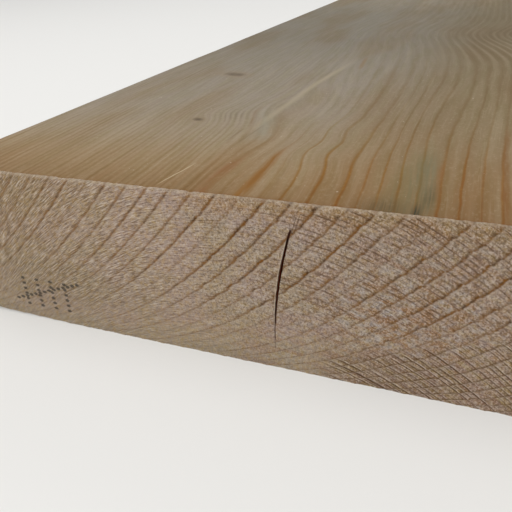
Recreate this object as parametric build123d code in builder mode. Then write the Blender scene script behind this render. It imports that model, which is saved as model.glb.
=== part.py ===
from build123d import *
import os

# A length of sawn softwood plank, lying flat. X is its width, Y its length and Z its thickness.
# The origin is the middle of the underside. The end with the drying check faces -Y.

# The section, in millimetres
width = 225.0
thickness = 50.0
length = 1800.0
arris_radius = 1.0

# The underside has dried slightly crowned: flat along the middle, and rising towards both long edges
crown_rise = 1.2
crown_flank = 60.0

# The end check, a drying crack that opens on the end face and runs out inside the wood
check_gap = 0.7
check_depth = 34.0
check_bow = 1.0
check_top_cover = 8.0
check_foot_cover = 10.8
check_top_shift = -2.7
check_foot_shift = -7.4
check_root_gap = 0.12
check_root_share = 0.3

near_end = -length / 2
half_width = width / 2
flat_half = half_width - crown_flank


def lens(gap, share):
    # The check's mouth on a plane across the plank: two lips that meet at a top and a foot tip.
    # share is how much of the full height stays, about the middle of the check.
    foot = Vector(check_foot_shift, check_foot_cover)
    top = Vector(check_top_shift, thickness - check_top_cover)
    middle = (foot + top) / 2
    foot_tip = middle + (foot - middle) * share
    top_tip = middle + (top - middle) * share
    bulge = middle - Vector(check_bow * share, 0)
    half_gap = Vector(gap / 2, 0)
    ThreePointArc(foot_tip, bulge - half_gap, top_tip)
    ThreePointArc(top_tip, bulge + half_gap, foot_tip)


with BuildPart() as plank:
    # The sawn section, drawn on the near end and run to the far end
    with BuildSketch(Plane.XZ.offset(-near_end)) as section:
        with BuildLine():
            base = Line((-flat_half, 0), (flat_half, 0))
            right_flank = TangentArc((flat_half, 0), (half_width, crown_rise), tangent=(1, 0))
            right_edge = Line(right_flank @ 1, (half_width, thickness))
            top = Line(right_edge @ 1, (-half_width, thickness))
            left_edge = Line(top @ 1, (-half_width, crown_rise))
            TangentArc((-flat_half, 0), left_edge @ 1, tangent=(-1, 0))
        make_face()
    extrude(amount=-length)

    # The four long arrises are worn soft, and the two ends are left as the saw cut them
    long_edges = plank.edges().filter_by(Axis.Y)
    arrises = long_edges.group_by(Axis.X)[0] + long_edges.group_by(Axis.X)[-1]
    fillet(arrises, arris_radius)

    # The check narrows and shortens on its way in
    with BuildSketch(Plane.XZ.offset(-near_end)):
        with BuildLine():
            lens(check_gap, 1.0)
        make_face()
    with BuildSketch(Plane.XZ.offset(-near_end - check_depth)):
        with BuildLine():
            lens(check_root_gap, check_root_share)
        make_face()
    loft(mode=Mode.SUBTRACT)

plank.part.label = "plank"

os.makedirs("parts", exist_ok=True)
export_step(plank.part, "parts/plank.step")
print("plank volume in cubic metres", round(plank.part.volume / 1e9, 6))
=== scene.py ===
import math
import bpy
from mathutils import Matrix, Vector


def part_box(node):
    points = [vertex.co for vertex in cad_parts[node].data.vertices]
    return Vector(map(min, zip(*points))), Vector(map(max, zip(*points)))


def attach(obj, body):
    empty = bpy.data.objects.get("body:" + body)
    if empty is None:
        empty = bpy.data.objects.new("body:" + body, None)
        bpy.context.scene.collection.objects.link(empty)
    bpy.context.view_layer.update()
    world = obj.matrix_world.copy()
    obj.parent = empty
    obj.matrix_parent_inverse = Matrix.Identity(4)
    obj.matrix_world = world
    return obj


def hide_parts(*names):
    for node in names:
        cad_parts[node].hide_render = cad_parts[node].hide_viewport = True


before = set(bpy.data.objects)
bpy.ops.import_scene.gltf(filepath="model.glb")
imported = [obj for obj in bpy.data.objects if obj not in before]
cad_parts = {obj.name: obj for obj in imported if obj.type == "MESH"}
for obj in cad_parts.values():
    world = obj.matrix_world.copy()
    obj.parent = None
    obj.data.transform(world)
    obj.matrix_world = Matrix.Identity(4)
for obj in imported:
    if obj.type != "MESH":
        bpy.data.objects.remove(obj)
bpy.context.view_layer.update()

from types import SimpleNamespace

import bpy
import numpy as np
from mathutils import Matrix, Vector

low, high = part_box("plank")
width, length, thickness = high - low
mm = 0.001
turn = 2 * math.pi


def rgb(red, green, blue):  # a colour as a paint program shows it, 0 to 255, made linear
    return tuple((v / 255) ** 2.2 for v in (red, green, blue)) + (1.0,)


# The camera stands close to the checked end, as the photo was taken
photoCamera = {
    "azimuth": 22.46,  # degrees
    "elevation": 28.65,
    "roll": -3.05,
    "lens": 40.1,  # millimetres
    "sensor": 36,  # millimetres, square
    "nearest": 10 * mm,  # anything closer isn't drawn
    "fromLeftEdge": 148.6 * mm,
    "fromEnd": 115.4 * mm,
    "height": 102.6 * mm,
}


def makeCamera(v):
    azimuth, elevation, roll = (math.radians(v[k]) for k in ("azimuth", "elevation", "roll"))
    level = math.cos(elevation)
    back = Vector((math.sin(azimuth) * level, -math.cos(azimuth) * level, math.sin(elevation)))
    sideways = Vector((0, 0, 1)).cross(back).normalized()
    upright = back.cross(sideways)
    right = sideways * math.cos(roll) + upright * math.sin(roll)
    above = upright * math.cos(roll) - sideways * math.sin(roll)
    data = bpy.data.cameras.new("photoCamera")
    data.lens, data.sensor_width, data.clip_start = v["lens"], v["sensor"], v["nearest"]
    camera = bpy.data.objects.new("photoCamera", data)
    place = Vector((low.x + v["fromLeftEdge"], low.y - v["fromEnd"], low.z + v["height"]))
    turned = Matrix((right, above, back)).transposed().to_4x4()
    camera.matrix_world = Matrix.Translation(place) @ turned
    bpy.context.scene.collection.objects.link(camera)
    bpy.context.scene.camera = camera


makeCamera(photoCamera)
print("camera set")


class Term:  # one output socket, so that shader maths reads as arithmetic
    def __init__(self, finish, socket):
        self.finish, self.socket = finish, socket

    def math(self, operation, *others):
        return self.finish.math(operation, self, *others)

    def __add__(self, other):
        return self.math("ADD", other)

    def __mul__(self, other):
        return self.math("MULTIPLY", other)

    def __sub__(self, other):
        return self.math("SUBTRACT", other)

    def __rsub__(self, other):
        return self.finish.math("SUBTRACT", other, self)

    def __truediv__(self, other):
        return self.math("DIVIDE", other)

    def __rtruediv__(self, other):
        return self.finish.math("DIVIDE", other, self)

    def __pow__(self, other):
        return self.math("POWER", other)

    def __abs__(self):
        return self.math("ABSOLUTE")

    __radd__ = __add__
    __rmul__ = __mul__


class Finish:  # the node tree of a material, or of the world
    def __init__(self, owner):
        self.owner = owner
        owner.use_nodes = True
        self.tree = owner.node_tree
        self.tree.nodes.clear()

    def node(self, kind, settings=None, values=None, out=0):
        made = self.tree.nodes.new(kind)
        for key, value in (settings or {}).items():
            if key == "stops":
                self.setStops(made.color_ramp, value)
            else:
                setattr(made, key, value)
        for key, value in (values or {}).items():
            if isinstance(value, Term):
                self.tree.links.new(value.socket, made.inputs[key])
            else:
                made.inputs[key].default_value = value
        return Term(self, made.outputs[out])

    def setStops(self, ramp, stops):
        while len(ramp.elements) < len(stops):
            ramp.elements.new(0.5)
        for element, (at, colour) in zip(ramp.elements, stops):
            element.position, element.color = at, colour

    def math(self, operation, *values):
        return self.node("ShaderNodeMath", {"operation": operation}, dict(enumerate(values)))

    def place(self):  # metres from the left edge, from the checked end and from the underside
        point = self.node("ShaderNodeTexCoord", out="Object")
        parts = self.node("ShaderNodeSeparateXYZ", {}, {0: point}).socket.node.outputs
        x, y, z = (Term(self, part) for part in parts)
        return x - low.x, y - low.y, z - low.z

    def noise(self, x, y, z, detail=2.0, rough=0.5, shift=0.0):  # 0 to 1, one feature for each unit
        at = self.node("ShaderNodeCombineXYZ", {}, {"X": x + shift, "Y": y, "Z": z})
        values = {"Vector": at, "Scale": 1.0, "Detail": detail, "Roughness": rough}
        return self.node("ShaderNodeTexNoise", {"noise_dimensions": "3D"}, values)

    def chance(self, number):  # a fixed random value, 0 to 1, for each whole number
        return self.node("ShaderNodeTexWhiteNoise", {"noise_dimensions": "1D"}, {"W": number})

    def mix(self, share, first, second, blend="MIX"):  # colours
        settings = {"data_type": "RGBA", "blend_type": blend}
        return self.node("ShaderNodeMix", settings, {0: share, 6: first, 7: second}, out=2)

    def bump(self, height, distance):
        return self.node("ShaderNodeBump", {}, {"Distance": distance, "Height": height})

    def principled(self, colour, roughness, **more):  # an underscore stands for a space in a name
        values = {"Base Color": colour, "Roughness": roughness}
        values.update({key.replace("_", " "): value for key, value in more.items()})
        return self.node("ShaderNodeBsdfPrincipled", {}, values)

    def seen(self):  # 1 where the camera looks, also by way of metal or glass
        rays = self.node("ShaderNodeLightPath").socket.node
        straight, glossy, through = (
            Term(self, rays.outputs[k]) for k in ("Is Camera Ray", "Is Glossy Ray", "Is Transmission Ray"))
        return most(most(straight, glossy), through)

    def close(self, shader, output="ShaderNodeOutputMaterial"):
        last = self.tree.nodes.new(output)
        self.tree.links.new(shader.socket, last.inputs["Surface"])
        return self.owner


# The functions from here to the saw marks work on shader terms and on numpy arrays alike, so the
# wood is described once for both
def either(v, operation, onArray, *others):
    return v.math(operation, *others) if isinstance(v, Term) else onArray(v, *others)


def sine(v):
    return either(v, "SINE", np.sin)


def expOf(v):
    return either(v, "EXPONENT", np.exp)


def logOf(v):  # the natural logarithm
    return v.math("LOGARITHM", math.e) if isinstance(v, Term) else np.log(v)


def nearestWhole(v):
    return either(v, "ROUND", np.round)


def most(v, limit):
    return either(v, "MAXIMUM", np.maximum, limit)


def least(v, limit):
    return either(v, "MINIMUM", np.minimum, limit)


def smooth(start, end, v):  # 0 before start, 1 after end, and eased between them
    if isinstance(v, Term):
        settings = {"interpolation_type": "SMOOTHSTEP", "clamp": True}
        values = {"Value": v, "From Min": start, "From Max": end}
        return v.finish.node("ShaderNodeMapRange", settings, values)
    share = np.clip((v - start) / (end - start), 0, 1)
    return share * share * (3 - 2 * share)


def hill(dx, dy, spanX, spanY):  # 1 in the middle, fading like a bell
    return expOf(-1 * ((dx / spanX) ** 2 + (dy / spanY) ** 2))


def hillAt(place, x, y):  # the same round a named place, which holds its spans too
    atX, atY, *spans = place
    return hill(x - atX, y - atY, *spans)


# The growth rings. Each meets the top face and curves away under it to the left
wood = {
    "firstLine": 28.4 * mm,  # where the first dark line meets the top, from the left edge
    "spacing": 6.36 * mm,  # between lines, along the top
    "lean": 0.513,  # sideways for each unit down
    "steeper": 0.45,  # how much that lessens for each metre across
    "leanFrom": 100 * mm,
    "bend": 16.85 * mm,  # and how the rings flatten towards the underside
    "lift": 4.74 * mm,
    "unevenBy": 0.98 * mm,
    "unevenOver": 146 * mm,
    "unevenFrom": -26 * mm,
    "faint": (4, 11, 18),  # lines hardly darker than the wood between them
    # on the long faces there are finer lines too: from which ring on, and how many to a ring
    "faceLines": [(-40, 2.9), (9.3, 1.26), (12.5, 1.0), (14.6, 1.5)],
    # amplitude, wavelength along the plank, wavelength across it, turn
    "waves": [
        (2.6 * mm, 520 * mm, 400 * mm, 0.4),
        (9.0 * mm, 1730 * mm, 900 * mm, 1.2),
    ],
    # where the grain is pushed aside, in mm: across, along, spans of the push, how far to the right
    "pushes": [
        (91, 38, 9, 16, 4.8),
        (74, 81, 13, 20, -4.0),
        (101, 34, 17, 11, -3.3),
        (108, 59, 9, 11, -2.0),
        (133, 89, 10, 70, -4.2),
        (93, 85, 10, 38, 7.0),
        (89, 277, 48, 58, -9.0),
        (60, 71, 10, 10, -3.6),
        (143, 126, 36, 70, 6.4),
        (165, 178, 24, 36, 5.0),
    ],
    # knots, in mm: place on the top face, size across and along, how far they push the grain aside
    # and over what spans, and how dark they are
    "knots": [
        {"at": (56.8, 60.5), "size": (1.5, 1.3), "push": 2, "spans": (8, 12), "dark": 0.85},
        {"at": (39.5, 135), "size": (3.8, 2.6), "push": 4, "spans": (16, 26), "dark": 0.8},
        {"at": (190, 262), "size": (6, 8), "push": 23, "spans": (52, 34), "dark": 0.9},
        {"at": (150, 760), "size": (3, 4), "push": 6, "spans": (20, 32), "dark": 0.8},
        {"at": (66, 1240), "size": (2.2, 3), "push": 4, "spans": (15, 24), "dark": 0.7},
    ],
    "knotLean": 0.7,  # sideways for each unit down, as a branch runs out from the heart
    # saw marks on the ends follow wide arcs, highest at one place across the plank
    "sawTop": 97 * mm,
    "sawRadius": 82 * mm,
    "sawPitch": 1.5 * mm,
}


def knotOffset(knot, x, y, z):
    atX, atY = knot["at"]
    return x - atX * mm - wood["knotLean"] * (thickness - z), y - atY * mm


def ringPhase(x, y, z):  # grows by 1 from one dark line to the next, and is whole on a line
    v = wood
    across = x + v["bend"] * logOf((thickness + v["lift"]) / (z + v["lift"]))
    across = across + (thickness - z) * (v["lean"] - v["steeper"] * (x - v["leanFrom"]))
    for size, along, over, start in v["waves"]:
        across = across + size * sine(y * (turn / along)) * sine(x * (turn / over) + start)
    for atX, atY, spanX, spanY, by in v["pushes"]:
        across = across - by * mm * hill(x - atX * mm, y - atY * mm, spanX * mm, spanY * mm)
    for knot in v["knots"]:
        dx, dy = knotOffset(knot, x, y, z)
        aside = dx / (abs(dx) + 2 * knot["size"][0] * mm)
        across = across - knot["push"] * mm * aside * hill(dx, dy, *(s * mm for s in knot["spans"]))
    uneven = v["unevenBy"] * sine((across - v["unevenFrom"]) * (turn / v["unevenOver"]))
    return (across - v["firstLine"] - uneven) / v["spacing"]


def fineLineCount(phase):  # counts the finer lines of the long faces in the same way
    count, before = 0, 0
    for start, rate in wood["faceLines"]:
        count = count + most(phase - start, 0) * (rate - before)
        before = rate
    return count


def lateWood(phase, softSide, crispSide):  # 1 on a dark line, fading slowly towards the heart
    off = phase - nearestWhole(phase)
    return smooth(-1 * softSide, 0, off) * smooth(crispSide, 0, off)


def sawHeight(x, z):
    return z + (x - wood["sawTop"]) * (x - wood["sawTop"]) / (2 * wood["sawRadius"])


print("wood described")

# The plank's own surface, built to the sizes of its solid, with the relief of a dried sawn piece
surface = {
    "columns": 448,  # over the width at the checked end, a multiple of 4
    "rows": 100,  # over the thickness there, a multiple of 4
    "firstRow": 0.6 * mm,  # how far behind the end the long faces start
    # up to where from the checked end, how far apart the rows are, and every how many points
    "rowSteps": [(3 * mm, 0.7 * mm, 1), (30 * mm, 2 * mm, 2), (length - 24 * mm, 24 * mm, 4)],
    "lastRows": (8 * mm, 3 * mm, 0),  # back from the far end
    "arris": 1.0 * mm,
    "crownRise": 1.2 * mm,
    "crownFlank": 60 * mm,
    "ringRelief": 0.14 * mm,  # how far the wood between the dark lines stands back
    "unevenEnd": 0.12 * mm,
    "sawRelief": 0.04 * mm,
    "pits": 0.16 * mm,
    "chips": 0.35 * mm,
    "fringe": 0.16 * mm,
    "fringeReach": 0.9 * mm,
    "wear": 0.15 * mm,  # how much the arrises wander, so that their light line isn't ruled
    "wearReach": 2.2 * mm,
    "wearPlaces": 4000,
    "sharpFrom": 38,  # degrees
    "seed": 11,
}
check = {
    "foot": (-7.4 * mm, 10.8 * mm),  # from mid-width, from the underside
    "top": (-2.7 * mm, 42.0 * mm),
    "bow": 1.0 * mm,
    "gap": 0.7 * mm,
    "depth": 34 * mm,
    "shareAtRoot": 0.3,  # how high it is there
    "narrowing": 0.83,
    "ragged": 0.09 * mm,
    "lipStep": 0.02 * mm,
    "spread": 14 * mm,  # how far the grid bends with it, to each side
    "edgeKept": 6 * mm,  # and how far from the faces the bending starts
    "layers": 7,
}
faceSlot, endSlot = 0, 1


class Skin:  # gathers the points and faces of one mesh, with each face's material slot
    def __init__(self):
        self.points, self.faces, self.slots = [], [], []

    def addPoints(self, x, y, z):
        start = len(self.points)
        self.points.extend(zip(*(v.ravel().tolist() for v in np.broadcast_arrays(x, y, z))))
        return np.arange(start, start + x.size).reshape(x.shape)

    def addFaces(self, loops, slot):
        for loop in loops:
            loop = list(dict.fromkeys(int(k) for k in loop))  # where two corners meet, one goes
            if len(loop) > 2:
                self.faces.append(loop)
                self.slots.append(slot)

    def build(self, name):
        mesh = bpy.data.meshes.new(name)
        mesh.from_pydata(self.points, [], self.faces)
        mesh.polygons.foreach_set("material_index", np.array(self.slots, dtype=np.int32))
        mesh.validate()
        mesh.shade_smooth()
        mesh.set_sharp_from_angle(angle=math.radians(surface["sharpFrom"]))
        made = bpy.data.objects.new(name, mesh)
        bpy.context.scene.collection.objects.link(made)
        return made


def valueNoise(rng, count, smoothing):  # a smooth random run of numbers, about -1 to 1
    run = rng.standard_normal(count + 6 * smoothing)
    kernel = np.hanning(2 * smoothing + 1)
    run = np.convolve(run, kernel / math.sqrt((kernel ** 2).sum()), "same")
    return run[3 * smoothing:3 * smoothing + count] * 0.5


def gridPlace(i, j):
    return low.x + width * i / surface["columns"], thickness * j / surface["rows"]


def gridFaces(ids):  # the four corners of each cell
    corners = [ids[:-1, :-1], ids[1:, :-1], ids[1:, 1:], ids[:-1, 1:]]
    return np.stack(corners, axis=-1).reshape(-1, 4)


def rim(step):  # grid places round the section, anticlockwise seen from the checked end
    columns, rows = surface["columns"], surface["rows"]
    bottom = [(i, 0) for i in range(0, columns, step)]
    right = [(columns, j) for j in range(0, rows, step)]
    top = [(i, rows) for i in range(columns, 0, -step)]
    left = [(0, j) for j in range(rows, 0, -step)]
    return np.array(bottom + right + top + left).T


def sectionPoint(x, z):  # from a plain rectangle to the worn arrises and the crowned underside
    arris, flank, rise = surface["arris"], surface["crownFlank"], surface["crownRise"]
    inX = np.clip((abs(x) - (width / 2 - arris)) / arris, 0, 1)
    upper = np.clip((z - (thickness - arris)) / arris, 0, 1)
    lower = np.clip((arris - z) / arris, 0, 1)
    inZ = np.maximum(upper, lower)
    reach = width / 2 - arris + arris * inX * np.sqrt(1 - inZ ** 2 / 2)
    newX = np.where(inX * inZ > 0, reach * np.sign(x), x)
    bent = arris * inZ * np.sqrt(1 - inX ** 2 / 2)
    newZ = np.where(inX * lower > 0, arris - bent, z)
    newZ = np.where(inX * upper > 0, thickness - arris + bent, newZ)
    past = np.maximum(abs(newX) - (width / 2 - flank), 0)
    radius = (flank ** 2 + rise ** 2) / (2 * rise)
    crown = radius - np.sqrt(radius ** 2 - past ** 2)
    return newX, newZ + crown * (1 - newZ / thickness)


def checkMiddle(z):  # where the check's middle runs across the end, at a height
    (footX, footZ), (topX, topZ) = check["foot"], check["top"]
    share = (z - footZ) / (topZ - footZ)
    return footX + (topX - footX) * share - check["bow"] * 4 * share * (1 - share)


def checkGap(z):  # how far it stands open: blunt at the top and drawn out at the foot
    footZ, topZ = check["foot"][1], check["top"][1]
    share = least(most((z - footZ) / (topZ - footZ), 0), 1)
    return check["gap"] * smooth(0, 0.55, share) * (1 - 0.5 * smooth(0.6, 0.98, share))


def endRelief(x, y, z, rng):  # how far the sawn end lies inside its plane
    v = surface
    x, z = x - low.x, z - low.z
    soft = 1 - lateWood(ringPhase(x, y, z), 0.35, 0.12)
    slow = np.sin(x * turn / (47 * mm) + z * turn / (39 * mm) + 1)
    slow = slow * np.sin(z * turn / (23 * mm) - x * turn / (71 * mm))
    marks = np.sin(sawHeight(x, z) * turn / (4 * wood["sawPitch"]))
    pits = rng.random(x.shape) ** 6
    relief = v["ringRelief"] * soft + v["unevenEnd"] * (1 + slow) / 2
    return relief + v["sawRelief"] * (1 + marks) + v["pits"] * pits * soft


def makeCheckWalls(skin, rng, x, y, z):  # both walls from the lips inwards, and the root
    half = (x.size + 1) / 2
    off = (np.arange(1, x.size + 1) - half) / half  # -1 at the foot, 1 at the top
    ragged = valueNoise(rng, x.size, 2) * check["ragged"]
    walls = {}
    for side in (-1, 1):
        walls[side] = []
        for layer in range(check["layers"] + 1):
            share = layer / check["layers"]
            reach = 1 - (1 - check["shareAtRoot"]) * share
            openness = np.maximum(1 - (off / reach) ** 2, 0)
            gap = checkGap(z) * (1 - check["narrowing"] * share) * least(openness * 3 + (layer == 0), 1) / 2
            wallX = x + ragged + side * (gap + check["lipStep"] * (layer == 0))
            depth = check["depth"] * share * np.maximum(openness, 0.02)
            walls[side].append(skin.addPoints(wallX, y + depth, z))
    return walls


def makeCheckedEnd(skin, rng):  # a grid whose middle column follows the check and opens there
    v = surface
    columns, rows = v["columns"], v["rows"]
    (footX, footZ), (topX, topZ) = check["foot"], check["top"]
    i, j = np.meshgrid(np.arange(columns + 1), np.arange(rows + 1), indexing="ij")
    flatX, flatZ = gridPlace(i, j)
    column = round(((footX + topX) / 2 - low.x) / width * columns)
    columnX = gridPlace(column, 0)[0]
    pull = np.exp(-((flatX - columnX) / check["spread"]) ** 2)
    kept = check["edgeKept"]
    pull = pull * (smooth(0, kept, flatZ) * smooth(0, kept, thickness - flatZ))
    flatX = flatX + (checkMiddle(np.clip(flatZ, footZ, topZ)) - columnX) * pull
    x, z = sectionPoint(flatX, flatZ)
    relief = endRelief(x, 0, z, rng)

    # Chips and torn fibres along the top arris
    chips = np.maximum(valueNoise(rng, columns + 1, 3), 0)
    chips = chips * np.maximum(valueNoise(rng, columns + 1, 18) + 0.35, 0)
    topDrop = v["chips"] * chips + v["fringe"] * rng.random(columns + 1) ** 2
    z = z - topDrop[:, None] * np.exp(-(rows - j) * 0.9)
    relief = relief + 0.7 * topDrop[:, None] * np.exp(-(rows - j) * 0.7)
    y = low.y + relief
    ids = skin.addPoints(x, y, z)

    # The check's column is doubled between its tips, one copy for each lip
    foot, top = (round(at / thickness * rows) for at in (footZ, topZ))
    lips = (column, slice(foot + 1, top))
    walls = makeCheckWalls(skin, rng, x[lips], y[lips], z[lips])
    for side, part in ((-1, slice(0, column + 1)), (1, slice(column, columns + 1))):
        parted = ids.copy()
        parted[lips] = walls[side][0]
        skin.addFaces(gridFaces(parted[part]), endSlot)
    footTip, topTip = ids[column, foot], ids[column, top]
    sheets = {}
    for side, layers in walls.items():
        sheets[side] = [[footTip, *layer, topTip] for layer in layers]
        for outer, inner in zip(sheets[side], sheets[side][1:]):
            loops = zip(outer, outer[1:], inner[1:], inner)
            skin.addFaces([loop[::-side] for loop in loops], endSlot)
    left, right = sheets[-1][-1], sheets[1][-1]
    skin.addFaces(zip(left, left[1:], right[1:], right), endSlot)
    return ids, topDrop


def stations():  # the rows along the plank: how far from the checked end, and how coarse
    y = surface["firstRow"]
    for upTo, apart, step in surface["rowSteps"]:
        while y < upTo:
            yield y, step
            y += apart
    for back in surface["lastRows"]:
        yield length - back, 2


def bridge(before, after):  # faces between two rows, of which one may have twice the points
    def at(ids, k):
        return ids[k % len(ids)]

    loops = []
    for k in range(min(len(before), len(after))):
        if len(before) == len(after):
            loops.append((at(before, k + 1), before[k], after[k], at(after, k + 1)))
        elif len(before) > len(after):
            a, b, c = (at(before, 2 * k + m) for m in range(3))
            loops += [(a, after[k], b), (b, after[k], at(after, k + 1)), (b, at(after, k + 1), c)]
        else:
            a, b, c = (at(after, 2 * k + m) for m in range(3))
            loops += [(a, b, before[k]), (b, at(before, k + 1), before[k]), (b, c, at(before, k + 1))]
    return loops


def makeLongFaces(skin, rng, ids, topDrop):  # rows of points that get coarser along the plank
    v = surface
    reach, places = v["wearReach"], v["wearPlaces"]
    rightRun, leftRun = (np.maximum(valueNoise(rng, places, 30), 0) for _ in range(2))
    for y, step in stations():
        i, j = rim(step)
        x, z = sectionPoint(*gridPlace(i, j))
        corner = smooth(thickness - reach, thickness, z) + smooth(reach, 0.2 * mm, z)
        corner = smooth(width / 2 - reach, width / 2, abs(x)) * corner
        place = int(y / length * (places - 1))
        wear = np.where(x > 0, rightRun[place], leftRun[place]) * v["wear"] * corner
        x = x - np.sign(x) * wear
        z = z + np.where(z > thickness / 2, -1, 1) * wear
        z = z - np.where(j == v["rows"], topDrop[i] * math.exp(-y / v["fringeReach"]), 0)
        before, ids = ids, skin.addPoints(x, low.y + y, z)
        skin.addFaces(bridge(before, ids), faceSlot)
    return ids, step


def makeFarEnd(skin, rng, rimIds, step):  # plain, a coarser grid inside the last row
    i, j = np.meshgrid(*(np.arange(0, surface[k] + 1, step) for k in ("columns", "rows")), indexing="ij")
    ids = np.zeros(i.shape, dtype=int)
    rimI, rimJ = rim(step) // step
    ids[rimI, rimJ] = rimIds
    inner = (slice(1, -1), slice(1, -1))
    x, z = sectionPoint(*gridPlace(i[inner], j[inner]))
    ids[inner] = skin.addPoints(x, high.y - endRelief(x, length, z, rng), z)
    skin.addFaces(gridFaces(ids.T), endSlot)


def makePlank():
    skin = Skin()
    rng = np.random.default_rng(surface["seed"])
    ids, topDrop = makeCheckedEnd(skin, rng)
    lastRow, step = makeLongFaces(skin, rng, ids[tuple(rim(1))], topDrop)
    makeFarEnd(skin, rng, lastRow, step)
    return skin.build("plankTimber")


plank = makePlank()
print("plank surface built,", sum(len(p.vertices) - 2 for p in plank.data.polygons), "triangles")

# The top, edges and underside, planed along the grain
faceGrain = {
    # the wood between the lines, by distance from the checked end, in mm; from about 170 to 480 mm it is
    # darker and greyer, which is painted shade and a painted grey sheen
    "ground": [
        (0, rgb(128, 101, 68)),
        (12, rgb(136, 111, 79)),
        (24, rgb(140, 118, 89)),
        (42, rgb(141, 125, 103)),
        (80, rgb(136, 125, 111)),
        (170, rgb(124, 116, 104)),
        (240, rgb(113, 106, 95)),
        (380, rgb(112, 106, 95)),
        (480, rgb(124, 115, 100)),
        (660, rgb(149, 134, 112)),
        (1000, rgb(160, 143, 118)),
    ],
    "sheenShadeReach": 170 * mm,  # how unevenly the stretch of painted shade and grey sheen ends, from streak to streak
    "sheenShadeFrom": (140 * mm, 420 * mm),  # and where along the plank that sets in
    "greyStreak": (11 * mm, 500 * mm),  # a streak's size across the grain and along it
    "edges": rgb(160, 142, 114),  # the wood of the edges and the underside
    "rightFrom": (86 * mm, 155 * mm),  # where across the plank the top gets darker
    "towardsRight": rgb(222, 204, 160),  # tints over the ground
    "warm": rgb(243, 232, 214),
    "warmSize": (26 * mm, 110 * mm, 26 * mm),
    "green": rgb(246, 247, 236),
    "greenSize": (2.4 * mm, 26 * mm, 50 * mm),
    "lineLeft": rgb(238, 232, 218),  # late wood, as a tint over the wood
    "lineRight": rgb(210, 184, 112),
    "lineAtEnd": rgb(240, 200, 92),
    "lineRightFrom": (84 * mm, 128 * mm),
    "faintBy": 0.86,  # how much the lines fade on the stretch of painted shade and grey sheen, and where it starts and ends
    "faintFrom": (60 * mm, 240 * mm),
    "faintTo": (640 * mm, 460 * mm),
    "plainShare": 0.4,  # how much of the lines shows in the plain strip between
    "arris": rgb(112, 80, 44),
    "arrisReach": 2.5 * mm,
    "kinkSize": (9 * mm, 14 * mm, 9 * mm),
    "kinkBy": 0.16,  # how far the lines kink, as a share of the space between two
    "fibreSize": (0.5 * mm, 20 * mm, 30 * mm),
    "fibreShare": 0.14,
    "scaleSize": (0.9 * mm, 1.6 * mm, 0.9 * mm),  # small scales that don't follow the grain
    "scaleShare": 0.18,
    "bandSize": (2.7 * mm, 60 * mm, 60 * mm),
    "bandShare": 0.14,
    "fibreDark": rgb(112, 92, 66),
    "fibrePale": rgb(168, 154, 130),
    "relief": 0.02 * mm,
    "roughness": 0.7,
    "specular": 0.16,
    "plain": (42 * mm, 104 * mm, 30 * mm, 32 * mm),  # a place where no line shows, and its spans
    "arcs": (67.5 * mm, 68 * mm, 5 * mm, 6 * mm),  # a place where they are darker
    "arcColour": rgb(92, 80, 64),
    "sheenSwirl": (154 * mm, 216 * mm, 22 * mm, 36 * mm),  # a place of curly grain where the wood between them is paled as a painted sheen
    "knot": rgb(74, 60, 46),
    "knotRing": rgb(128, 110, 86),
    "knotLobes": (3 * mm, 4 * mm, 3 * mm),
    "dust": rgb(190, 180, 162),
    "dustSize": (1.1 * mm, 1.6 * mm, 1.1 * mm),
    # Streaks that run with the grain: which ring, from and to along the plank, half width in mm,
    # strength and colour
    "streaks": [
        (10.94, -18, 44, 3.0, 0.75, rgb(126, 85, 34)),
        (10.94, -12, 70, 1.2, 0.25, rgb(112, 78, 38)),
        (9.36, -18, 34, 2.4, 0.60, rgb(126, 84, 50)),
        (9.36, -12, 80, 1.1, 0.25, rgb(116, 84, 48)),
        (9.0, 36, 84, 3.2, 0.34, rgb(134, 132, 117)),
        (8.47, 50, 86, 0.9, 0.45, rgb(112, 88, 60)),
        (19.97, -20, 80, 1.6, 0.55, rgb(112, 70, 14)),
        (17.79, 2, 40, 1.3, 0.45, rgb(130, 84, 40)),
    ],
    # Marks that cross it: points across and along in mm, half width in mm, strength and colour
    "marks": [
        ([(73.8, 0), (76.3, 21)], 0.35, 0.75, rgb(190, 172, 140)),
        ([(78, 35), (78.3, 47), (80.3, 58), (81.4, 100), (86.9, 186)], 2.4, 0.5, rgb(162, 150, 126)),
        ([(76.6, 38), (76.9, 56)], 0.6, 0.4, rgb(104, 86, 62)),
        ([(80.9, 36), (82.0, 60)], 0.7, 0.35, rgb(104, 86, 62)),
        ([(93.5, 150), (91, 188)], 1.8, 0.45, rgb(118, 88, 54)),
    ],
    # Stains: across and along, their spans, all in mm, strength and colour
    "stains": [
        (135.5, 14, 6.0, 28, 0.38, rgb(96, 92, 60)),
        (137.5, 26, 3.0, 18, 0.32, rgb(88, 90, 66)),
        (131.0, 2, 5.5, 5, 0.50, rgb(76, 64, 40)),
        (140.0, 10, 1.6, 8, 0.55, rgb(74, 68, 42)),
        (138.2, 1, 0.9, 4, 0.85, rgb(50, 50, 36)),
    ],
}


def alongPoints(points, y):  # where a mark lies across the plank, eased from point to point
    at = points[0][0] * mm
    for (fromX, fromY), (toX, toY) in zip(points, points[1:]):
        at = at + smooth(fromY * mm, toY * mm, y) * ((toX - fromX) * mm)
    return at


def spell(start, end, y):  # 1 between two places along the plank, eased at both
    ease = (end - start) * 0.33
    return smooth(start * mm, (start + ease) * mm, y) * smooth(end * mm, (end - ease) * mm, y)


# In the functions from here on, f is the finish, v its dictionary, and w gathers what is worked out
# for a point of the wood: its place, its ring and so on
def spots(f, w, size, **more):  # noise of a size given across, along and up
    across, along, up = size
    return f.noise(w.x / across, w.y / along, w.z / up, **more)


def streaks(f, w, size, **more):  # noise drawn out along the grain, by size across it, along and aside
    across, along, aside = size
    return f.noise(w.grain / across, w.y / along, (w.x + w.z) / aside, **more)


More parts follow.
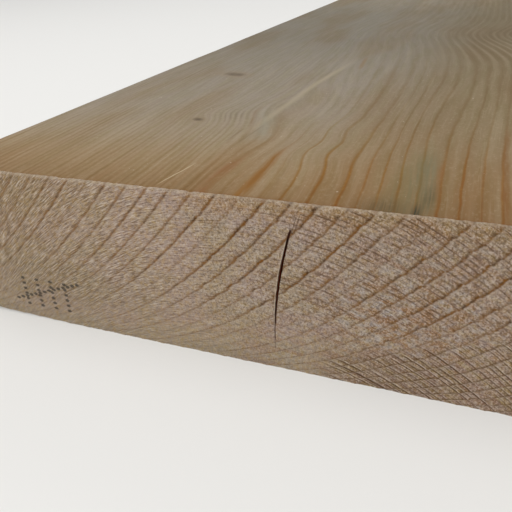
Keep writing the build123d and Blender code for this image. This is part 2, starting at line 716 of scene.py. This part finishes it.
def faceGround(f, v, w):  # warm at the checked end, greyer and darker further along as painted shade and grey sheen, darker to the right
    x, y = w.x, w.y
    reach = v["ground"][-1][0]
    stops = [(at / reach, colour) for at, colour in v["ground"]]
    # the painted shade and grey sheen set in unevenly, streak by streak along the grain
    across, along = v["greyStreak"]
    streaky = f.noise(w.grain / across, y / along, 2.5, detail=3.0) - 0.5
    greyAt = y + streaky * v["sheenShadeReach"] * smooth(*v["sheenShadeFrom"], y)
    colour = f.node("ShaderNodeValToRGB", {"stops": stops}, {0: greyAt / (reach * mm)})
    colour = f.mix(w.onTop, v["edges"], colour)
    darker = w.onTop * smooth(*v["rightFrom"], x) * (0.5 + 0.5 * smooth(8 * mm, 90 * mm, y))
    darker = darker * (1 - 0.6 * smooth(170 * mm, width, x)) * (1 - 0.75 * smooth(300 * mm, 800 * mm, y))
    colour = f.mix(darker, colour, v["towardsRight"], "MULTIPLY")
    patch = spots(f, w, v["warmSize"])
    colour = f.mix(smooth(0.4, 0.65, patch), colour, v["warm"], "MULTIPLY")
    hue = streaks(f, w, v["greenSize"], shift=4.0)
    colour = f.mix(smooth(0.42, 0.62, hue), colour, v["green"], "MULTIPLY")
    nearArris = smooth(v["arrisReach"], 0, y) * (0.15 + 0.45 * smooth(76 * mm, 92 * mm, x))
    return f.mix(nearArris, colour, v["arris"])


def faceFibres(f, v, w, colour):  # broad bands and fine fibres along the grain, and small scales
    band = streaks(f, w, v["bandSize"])
    scale = spots(f, w, v["scaleSize"], detail=3.0, rough=0.7, shift=17.0)
    near = 1 - 0.5 * smooth(60 * mm, 220 * mm, w.y)
    for run, share in ((band, v["bandShare"]), (w.fibre, v["fibreShare"]), (scale, v["scaleShare"])):
        colour = f.mix(smooth(0.5, 0.3, run) * near * share, colour, v["fibreDark"])
        colour = f.mix(smooth(0.5, 0.72, run) * near * share, colour, v["fibrePale"])
    return colour


def faceLines(f, v, w, colour):  # late wood, close and fine on the left and wide apart on the right
    x, y, phase = w.x, w.y, w.phase
    uneven = f.noise(phase * 0.4, y / (420 * mm), 1.5) - 0.5
    line = fineLineCount(phase) + uneven * 2.2 * smooth(9.0, 7.5, phase)
    number = nearestWhole(line)
    lineWidth = 0.15 + 0.22 * smooth(9.6, 8.9, phase) + 0.15 * smooth(40 * mm, 200 * mm, y)
    wide = smooth(9.5, 12.5, phase)
    late = lateWood(line, lineWidth, lineWidth * 0.75)
    late = late * (1 - f.chance(number + 7.0) * (0.75 - 0.35 * wide))

    # How much of the lines shows, from place to place
    plainStrip = smooth(9.5, 9.9, phase) * smooth(12.2, 11.8, phase)
    greyStretch = smooth(*v["faintFrom"], y) * smooth(*v["faintTo"], y)
    shown = (1 - (1 - v["plainShare"]) * plainStrip) * (1 - 0.92 * hillAt(v["plain"], x, y))
    shown = shown * (1 - v["faintBy"] * greyStretch)
    shown = shown * (1 - 0.5 * smooth(30 * mm, 90 * mm, y) * smooth(9.5, 8.5, phase))
    shown = shown * (1 + 0.12 * wide) * (1 - 0.50 * smooth(10 * mm, 80 * mm, y) * wide)
    fading = f.noise(w.grain / (5 * mm), y / (34 * mm), w.z / (40 * mm)) - 0.5
    shown = shown * most(1 + fading * (3.2 - 1.8 * wide), 0.1)

    onRight = smooth(*v["lineRightFrom"], x)
    tint = f.mix(onRight, v["lineLeft"], v["lineRight"])
    tint = f.mix(onRight * smooth(90 * mm, 20 * mm, y), tint, v["lineAtEnd"])
    colour = f.mix(late * shown, colour, tint, "MULTIPLY")
    between = smooth(0.2, 0.45, abs(line - number))
    # painted sheen of curly grain: the wood between the lines is paled here
    sheenSwirl = hillAt(v["sheenSwirl"], x, y)
    colour = f.mix(between * (0.05 + 0.15 * sheenSwirl * w.onTop), colour, v["fibrePale"])
    arcs = lateWood(line, 0.45, 0.4) * hillAt(v["arcs"], x, y)
    colour = f.mix(arcs * w.onTop * 0.32, colour, v["arcColour"])
    return colour, late


def topMarks(f, v, w, colour):  # streaks with the grain, marks that cross it, and stains
    x, y = w.x, w.y
    ragged = f.noise(w.grain / (1.4 * mm), y / (13 * mm), 0.5)
    broken = 0.35 + 1.1 * smooth(0.3, 0.65, ragged)
    for number, start, end, spread, share, tint in v["streaks"]:
        off = abs(w.phase - number) * wood["spacing"] + (ragged - 0.5) * 0.8 * mm
        mask = smooth(spread * mm, 0, off) * spell(start, end, y)
        colour = f.mix(mask * w.onTop * broken * share, colour, tint)
    for points, spread, share, tint in v["marks"]:
        off = abs(x - alongPoints(points, y) + (ragged - 0.5) * 0.5 * mm)
        mask = smooth(spread * mm, 0, off) * spell(points[0][1], points[-1][1], y)
        colour = f.mix(mask * w.onTop * share, colour, tint)
    for atX, atY, spanX, spanY, share, tint in v["stains"]:
        mask = hill(x - atX * mm, y - atY * mm, spanX * mm, spanY * mm)
        fibrous = 0.5 + smooth(0.3, 0.7, w.fibre)
        colour = f.mix(mask * share * fibrous * w.onTop, colour, tint)
    return colour


def faceKnots(f, v, w, colour):  # each a dark heart in a softer ring
    lobes = spots(f, w, v["knotLobes"]) - 0.5
    for knot in wood["knots"]:
        dx, dy = knotOffset(knot, w.x, w.y, w.z)
        spanX, spanY = (size * mm for size in knot["size"])
        slant = (dy + dx * 0.3) / spanY
        off = dx / spanX * (dx / spanX) + slant * slant + lobes * 2.6
        colour = f.mix(smooth(12.0, 0.5, off) * 0.4, colour, v["knotRing"])
        colour = f.mix(smooth(3.4, -1.4, off) * knot["dark"], colour, v["knot"])
    return colour


def faceGrainFinish(v):
    f = Finish(bpy.data.materials.new("faceGrain"))
    x, y, z = f.place()
    w = SimpleNamespace(x=x, y=y, z=z)
    kinks = spots(f, w, v["kinkSize"], detail=3.0) - 0.5
    w.phase = ringPhase(x, y, z) + kinks * v["kinkBy"]
    w.grain = w.phase * wood["spacing"]  # a length across the grain, which bends with it
    w.fibre = streaks(f, w, v["fibreSize"], detail=3.0, rough=0.6)
    w.onTop = smooth(thickness - 2 * mm, thickness - 1 * mm, z)
    colour = faceFibres(f, v, w, faceGround(f, v, w))
    colour, late = faceLines(f, v, w, colour)
    colour = faceKnots(f, v, w, topMarks(f, v, w, colour))
    dust = spots(f, w, v["dustSize"], detail=1.0)
    colour = f.mix(smooth(0.77, 0.85, dust) * 0.5, colour, v["dust"])
    normal = f.bump(w.fibre + late * 0.6, v["relief"])
    shader = f.principled(colour, v["roughness"], Normal=normal, Specular_IOR_Level=v["specular"])
    return f.close(shader)


# The sawn ends
endGrain = {
    "straw": rgb(169, 150, 127),  # the wood between the rings, in patches
    "pink": rgb(172, 150, 137),
    "patchSize": (17 * mm, 17 * mm, 13 * mm),
    "right": rgb(157, 134, 116),
    "rightFrom": (105 * mm, 150 * mm),
    "upperLeft": rgb(144, 122, 92),
    "upperLeftAt": (16 * mm, 46 * mm, 42 * mm, 26 * mm),  # its middle and its spans
    "lowerLeft": rgb(140, 124, 102),
    "lowerLeftAt": (36 * mm, 14 * mm, 44 * mm, 12 * mm),
    "foot": rgb(154, 140, 119),
    "footHeight": 9 * mm,
    "rim": rgb(250, 240, 214),  # a tint below the top arris
    "rimFrom": (43 * mm, 48 * mm),
    "golden": rgb(255, 248, 219),  # tints that come and go over a millimetre or so
    "cool": rgb(240, 245, 250),
    "hueSize": (1.3 * mm, 3 * mm, 1.3 * mm),
    "cellPink": rgb(148, 118, 100),
    "cellStraw": rgb(166, 153, 135),
    "cellGold": rgb(156, 134, 98),
    "lineLow": rgb(88, 64, 40),  # at the lower right, below a line that rises from a place there
    "lowFrom": (125 * mm, 9 * mm),
    "lowRise": 0.33,
    "line": rgb(120, 80, 38),  # a ring's line, with darker lengths in it
    "lineDark": rgb(80, 55, 34),
    "darkSize": (1.8 * mm, 3 * mm, 1.8 * mm),
    "halo": rgb(132, 102, 64),
    "spring": rgb(182, 166, 148),  # the palest wood, just outside each line
    "lineShare": 0.95,
    "haloShare": 0.42,
    "springShare": 0.45,
    "lineAtFoot": 0.4,  # how much of a ring's line is left at the underside
    "fadingSize": (2.4 * mm, 3 * mm, 2.4 * mm),
    "raggedRings": 0.19,
    "raggedSize": (2 * mm, 3 * mm, 2 * mm),
    "stepFrom": (60 * mm, 100 * mm),  # from where across the rings step at the saw marks
    "stepBy": 0.12,
    "pale": rgb(207, 192, 178),
    "dark": rgb(92, 70, 52),
    "paleShare": 0.55,
    "darkShare": 0.60,
    "grainSize": (0.52 * mm, 0.52 * mm, 0.52 * mm),
    "grainGain": 1.5,
    "dragGain": 0.45,
    "streakLength": 2.8 * mm,  # towards the left edge the flecks are drawn out by the saw
    "streakWidth": 0.36 * mm,
    "streakGain": 1.45,
    "sawShare": 0.82,
    "rust": rgb(152, 112, 74),  # mottling near the right edge
    "white": rgb(182, 175, 172),
    "mottleAt": (139 * mm, 23 * mm, 20 * mm, 12 * mm),
    "inside": rgb(140, 56, 20),  # the walls of the check: their own long grain, darkened further in as painted shade
    # a painted highlight on the check's left lip; the same pale also colours the torn fibres along the top
    # arris
    "lipHighlightAndFibres": rgb(196, 180, 160),
    "relief": 0.3 * mm,
    "roughness": 0.9,
    "specular": 0.15,
    # the check's dark ends and the hair cracks beyond them, in mm: how far aside of it, from and to
    # what height, half width; then strength and colour
    "hairs": [
        (0.0, 15.0, 42.0, 0.50, 0.8, rgb(70, 34, 16)),
        (0.0, 35.0, 42.5, 0.34, 1.0, rgb(48, 22, 10)),
        (0.0, 9.5, 22.0, 0.20, 0.9, rgb(56, 30, 18)),
        (0.45, 42.0, 46.0, 0.16, 0.75, rgb(92, 70, 52)),
        (1.15, 42.0, 46.5, 0.16, 0.6, rgb(92, 70, 52)),
        (0.0, 6.5, 10.0, 0.15, 0.6, rgb(92, 70, 52)),
    ],
}
# A tally in ink dots where such stock is marked: five strokes, the last across the others
tally = {
    "first": 21.5 * mm,  # the first upright's place across
    "step": 5.2 * mm,
    "uprights": 4,
    "foot": 5.0 * mm,
    "dots": 6,
    "pitch": 1.9 * mm,
    "dotSize": (0.75 * mm, 0.5 * mm),
    "slashFrom": (17.5 * mm, 6.4 * mm),
    "slashLean": 0.36,  # how far it rises for each unit across
    "slashDots": 14,
    "ink": rgb(62, 58, 54),
    "inkShare": 0.8,
}


def fromNearest(value, step, count):  # how far from the nearest of some evenly spaced places
    number = least(most(nearestWhole(value / step), 0), count - 1)
    return value - number * step


def tallyMask(v, x, z):
    def dot(dx, dz):
        spanX, spanZ = v["dotSize"]
        return smooth(1.5, 0.5, dx / spanX * (dx / spanX) + dz / spanZ * (dz / spanZ))

    across = fromNearest(x - v["first"], v["step"], v["uprights"])
    upright = dot(across, fromNearest(z - v["foot"], v["pitch"], v["dots"]))
    startX, startZ = v["slashFrom"]
    across = fromNearest(x - startX, v["pitch"], v["slashDots"])
    slash = dot(across, z - startZ - (x - startX - across) * v["slashLean"])
    return most(upright, slash)


def endPlaces(f, v):  # where a point lies among the rings and the saw marks
    x, y, z = f.place()
    w = SimpleNamespace(x=x, y=y, z=z)
    w.checkedEnd = smooth(80 * mm, 60 * mm, y)
    w.upper = smooth(10 * mm, 30 * mm, z)
    lowX, lowZ = v["lowFrom"]
    aboveLine = z - lowZ - (x - lowX) * v["lowRise"]
    w.lowerRight = smooth(2 * mm, -2 * mm, aboveLine) * smooth(112 * mm, 126 * mm, x)
    wander = spots(f, w, v["raggedSize"], detail=4.0, rough=0.7) - 0.5
    phase = ringPhase(x, y, z) + wander * v["raggedRings"]
    between = nearestWhole(phase + 0.5)
    w.arc = sawHeight(x, z)
    w.wobble = f.noise(x / (12 * mm), y, w.arc / (3 * mm)) - 0.5
    mark = w.arc / wood["sawPitch"] + w.wobble * 0.7
    step = f.chance(nearestWhole(mark) + 3.0)
    stepping = smooth(*v["stepFrom"], x)
    w.step = step * stepping
    w.phase = phase + (step - 0.5) * (v["stepBy"] * stepping)
    w.ring = nearestWhole(w.phase)
    w.mark = mark + f.chance(between + 5.0) * (1 - w.lowerRight) * 0.8
    w.cut = nearestWhole(w.mark)
    w.cell = f.chance(w.cut + between * 13.0)
    return w


def endGround(f, v, w):  # broad soft patches, cells between rings and saw marks, and mottling
    x, y, z = w.x, w.y, w.z
    patch = spots(f, w, v["patchSize"], detail=3.0)
    colour = f.mix(smooth(0.38, 0.62, patch), v["straw"], v["pink"])
    colour = f.mix(smooth(*v["rightFrom"], x) * 0.85, colour, v["right"])
    colour = f.mix(hillAt(v["upperLeftAt"], x, z) * 0.8, colour, v["upperLeft"])
    colour = f.mix(hillAt(v["lowerLeftAt"], x, z) * 0.7, colour, v["lowerLeft"])
    nearFoot = smooth(v["footHeight"], 0, z) * smooth(120 * mm, 90 * mm, x)
    colour = f.mix(nearFoot * 0.8, colour, v["foot"])
    celled = 0.1 + 0.35 * smooth(76 * mm, 112 * mm, x) + 0.4 * w.lowerRight
    otherCell = f.mix(w.lowerRight, v["cellStraw"], v["cellGold"])
    colour = f.mix(smooth(0.5, 1.0, w.cell) * celled, colour, v["cellPink"])
    colour = f.mix(smooth(0.5, 0.0, w.cell) * celled, colour, otherCell)
    nearRim = smooth(*v["rimFrom"], z) * smooth(76 * mm, 90 * mm, x)
    colour = f.mix(nearRim, colour, v["rim"], "MULTIPLY")

    patchwork = f.chance(w.cut * 3.0 + nearestWhole(w.phase * 3.0) * 7.0) - 0.5
    motley = f.noise(w.phase * 1.8, y / (3 * mm), w.arc / (2.8 * mm)) + patchwork * 0.24
    mottled = hillAt(v["mottleAt"], x, z) * w.checkedEnd
    colour = f.mix(smooth(0.53, 0.64, motley) * mottled * 0.75, colour, v["rust"])
    colour = f.mix(smooth(0.47, 0.36, motley) * mottled * 0.65, colour, v["white"])
    hue = spots(f, w, v["hueSize"], detail=3.0, rough=0.7, shift=13.0)
    colour = f.mix(smooth(0.48, 0.62, hue), colour, v["golden"], "MULTIPLY")
    return f.mix(smooth(0.52, 0.38, hue), colour, v["cool"], "MULTIPLY")


def endFlecks(f, v, w, colour):  # torn fibre ends and pits, drawn out by the saw on the left
    x, y, z = w.x, w.y, w.z
    w.fine = spots(f, w, v["grainSize"], detail=3.0, rough=0.85)
    long = v["streakLength"]
    streak = f.noise(x / long, y / long, w.arc / v["streakWidth"], rough=0.7)
    left = smooth(105 * mm, 55 * mm, x) * 0.8
    grains = 0.5 + (w.fine - 0.5) * ((1 - left) * v["grainGain"])
    w.grains = grains + (streak - 0.5) * (left * v["streakGain"] + (1 - left) * v["dragGain"])
    crisp = most(0.5 + 0.5 * smooth(2 * mm, 22 * mm, z), w.lowerRight)
    colour = f.mix(smooth(0.53, 0.66, w.grains) * crisp * v["paleShare"], colour, v["pale"])
    return f.mix(smooth(0.48, 0.35, w.grains) * crisp * v["darkShare"], colour, v["dark"])


def sawMarks(f, v, w, colour):  # short dashes that come and go, and long ones at the lower right
    x = w.x
    off = w.mark - w.cut
    dash = smooth(0.20, 0.05, abs(off))
    comesAndGoes = f.noise(x / (2.4 * mm), w.cut * 3.7, 0.5, detail=1.0)
    broken = smooth(0.36, 0.52, comesAndGoes) * (0.4 + 0.7 * w.cell)
    comesAndGoes = f.noise(x / (16 * mm), w.cut * 5.3, 3.5, detail=1.0)
    drawn = smooth(0.36, 0.5, comesAndGoes) * (0.45 + 0.55 * f.chance(w.cut))
    shown = 0.15 + 0.25 * smooth(66 * mm, 90 * mm, x) + 0.5 * smooth(96 * mm, 118 * mm, x)
    w.saw = most(dash * broken * shown * w.upper, dash * drawn * w.lowerRight * 1.4)
    lit = smooth(0.10, 0.22, off) * smooth(0.46, 0.30, off) * w.lowerRight * drawn
    finer = w.arc / (0.62 * wood["sawPitch"]) + w.wobble * 1.5
    scratch = smooth(0.24, 0.05, abs(finer - nearestWhole(finer))) * w.lowerRight * 0.6
    scratch = scratch * smooth(158 * mm, 136 * mm, x)
    colour = f.mix(lit * 0.5, colour, v["pale"])
    return f.mix(most(w.saw, scratch) * v["sawShare"], colour, v["dark"])


def endRings(f, v, w, colour):  # strongest towards the top, each with pale spring wood outside it
    strength = 0.62 + 0.38 * f.chance(w.ring + 3.0)
    for number in wood["faint"]:
        strength = strength * (1 - 0.55 * w.ring.math("COMPARE", number, 0.5))
    strength = strength * most(v["lineAtFoot"] + (1 - v["lineAtFoot"]) * w.upper, w.lowerRight * 0.75)
    fading = spots(f, w, v["fadingSize"], shift=9.0)
    strength = strength * (0.45 + fading) * (0.75 + 0.5 * w.step)
    strength = strength * (0.75 + 0.25 * smooth(20 * mm, 70 * mm, w.x))
    outside = w.phase - w.ring
    spring = smooth(0.06, 0.10, outside) * smooth(0.26, 0.12, outside)
    colour = f.mix(spring * strength * v["springShare"], colour, v["spring"])
    colour = f.mix(lateWood(w.phase, 0.32, 0.15) * strength * v["haloShare"], colour, v["halo"])
    tone = spots(f, w, v["darkSize"], shift=21.0)
    tint = f.mix(smooth(0.44, 0.6, tone), v["line"], v["lineDark"])
    tint = f.mix(w.lowerRight, tint, v["lineLow"])
    w.core = lateWood(w.phase, 0.16, 0.09) * strength
    return f.mix(w.core * (1.4 - w.grains * 0.7) * v["lineShare"], colour, tint)


def checkMarks(f, v, w, colour):  # hair cracks beyond its tips, a painted highlight on one lip, and the walls with painted shade over their own colour
    z = w.z
    aside = w.x - width / 2 - checkMiddle(z)
    for at, start, end, spread, share, tint in v["hairs"]:
        along = smooth((start - 0.6) * mm, start * mm, z) * smooth((end + 0.4) * mm, end * mm, z)
        mask = smooth(spread * mm, spread * 0.4 * mm, abs(aside - at * mm)) * along
        colour = f.mix(mask * w.checkedEnd * share, colour, tint)
    # a painted highlight along the check's left lip
    beside = -1 * aside - checkGap(z) / 2
    lipHighlightAndFibres = smooth(0.42 * mm, 0.2 * mm, beside) * smooth(0.06 * mm, 0.16 * mm, beside)
    lipHighlightAndFibres = lipHighlightAndFibres * smooth(12 * mm, 16 * mm, z) * smooth(41 * mm, 38 * mm, z)
    colour = f.mix(lipHighlightAndFibres * w.checkedEnd * 0.7, colour, v["lipHighlightAndFibres"])
    # the check's walls darken from the mouth inwards, painted shade over their own colour
    return f.mix(smooth(0.6 * mm, 1.6 * mm, w.y) * w.checkedEnd, colour, v["inside"])


def endGrainFinish(v):
    f = Finish(bpy.data.materials.new("endGrain"))
    w = endPlaces(f, v)
    colour = endFlecks(f, v, w, endGround(f, v, w))
    colour = endRings(f, v, w, sawMarks(f, v, w, colour))
    colour = checkMarks(f, v, w, colour)
    # torn fibres along the top arris, in the pale of the painted lip highlight
    fringe = smooth(thickness - 1.4 * mm, thickness - 0.2 * mm, w.z + (w.fine - 0.5) * 2.5 * mm)
    colour = f.mix(fringe * 0.4, colour, v["lipHighlightAndFibres"])
    ink = tallyMask(tally, w.x, w.z) * w.checkedEnd * smooth(0.30, 0.5, w.fine + 0.08)
    colour = f.mix(ink * tally["inkShare"], colour, tally["ink"])
    normal = f.bump(w.grains + w.core * 0.2 - w.saw * 0.25, v["relief"])
    shader = f.principled(colour, v["roughness"], Normal=normal, Specular_IOR_Level=v["specular"])
    return f.close(shader)


plank.data.materials.append(faceGrainFinish(faceGrain))
plank.data.materials.append(endGrainFinish(endGrain))
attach(plank, "root")
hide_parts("plank")
print("plank finished")

# A pale floor and soft light from in front and above. The lamps stand where these say, from the
# middle of the checked end
studio = {
    "floor": rgb(230, 229, 226),
    "floorSeen": rgb(240, 239, 236),
    "floorWhite": (0.3, 0.95),  # how far it is lifted to white for the camera, near by and far off
    "floorFar": (1.2, 4.0),  # metres from the middle of the plank
    "floorReach": 30,  # metres to each side
    "sky": 0.55,
    "skySeen": 0.84,
    "lamps": {
        "keyLamp": {"at": (0.9, -1.7, 1.3), "size": 0.9, "power": 16},
        "overheadLamp": {"at": (-0.5, -0.2, 1.6), "size": 1.8, "power": 12.5},
        "farLamp": {"at": (1.0, 2.2, 1.4), "size": 1.4, "power": 12},
    },
}


def floorFinish(v):
    f = Finish(bpy.data.materials.new("paleFloor"))
    x, y, _ = f.place()
    x, y = x - width / 2, y - length / 2
    far = smooth(*v["floorFar"], (x * x + y * y).math("SQRT"))
    near, farOff = v["floorWhite"]
    white = f.node("ShaderNodeEmission", {}, {"Color": v["floorSeen"], "Strength": 1.0})
    lifted = f.seen() * (near + far * (farOff - near))
    values = {0: lifted, 1: f.principled(v["floor"], 0.9), 2: white}
    return f.close(f.node("ShaderNodeMixShader", {}, values))


def skyFinish(v):
    f = Finish(bpy.data.worlds.new("studio"))
    strength = v["sky"] + f.seen() * (v["skySeen"] - v["sky"])
    background = f.node("ShaderNodeBackground", {}, {"Color": (1, 1, 1, 1), "Strength": strength})
    return f.close(background, "ShaderNodeOutputWorld")


def makeLamp(name, v):
    data = bpy.data.lights.new(name, "AREA")
    data.shape, data.size, data.energy = "DISK", v["size"], v["power"]
    lamp = bpy.data.objects.new(name, data)
    x, y, z = v["at"]
    lamp.location = Vector((x, low.y + y, z))
    target = Vector((0, low.y + max(y * 0.6, 0), thickness / 2))  # the part of the plank near it
    lamp.rotation_euler = (target - lamp.location).to_track_quat("-Z", "Y").to_euler()
    bpy.context.scene.collection.objects.link(lamp)


def makeFloor(v):
    reach = v["floorReach"]
    corners = [(-reach, -reach, 0), (reach, -reach, 0), (reach, reach, 0), (-reach, reach, 0)]
    mesh = bpy.data.meshes.new("floor")
    mesh.from_pydata(corners, [], [(0, 1, 2, 3)])
    mesh.materials.append(floorFinish(v))
    floor = bpy.data.objects.new("floor", mesh)
    bpy.context.scene.collection.objects.link(floor)


makeFloor(studio)
for lampName, lampValues in studio["lamps"].items():
    makeLamp(lampName, lampValues)
bpy.context.scene.world = skyFinish(studio)
bpy.context.scene.view_settings.view_transform = "Standard"
print("studio lit")
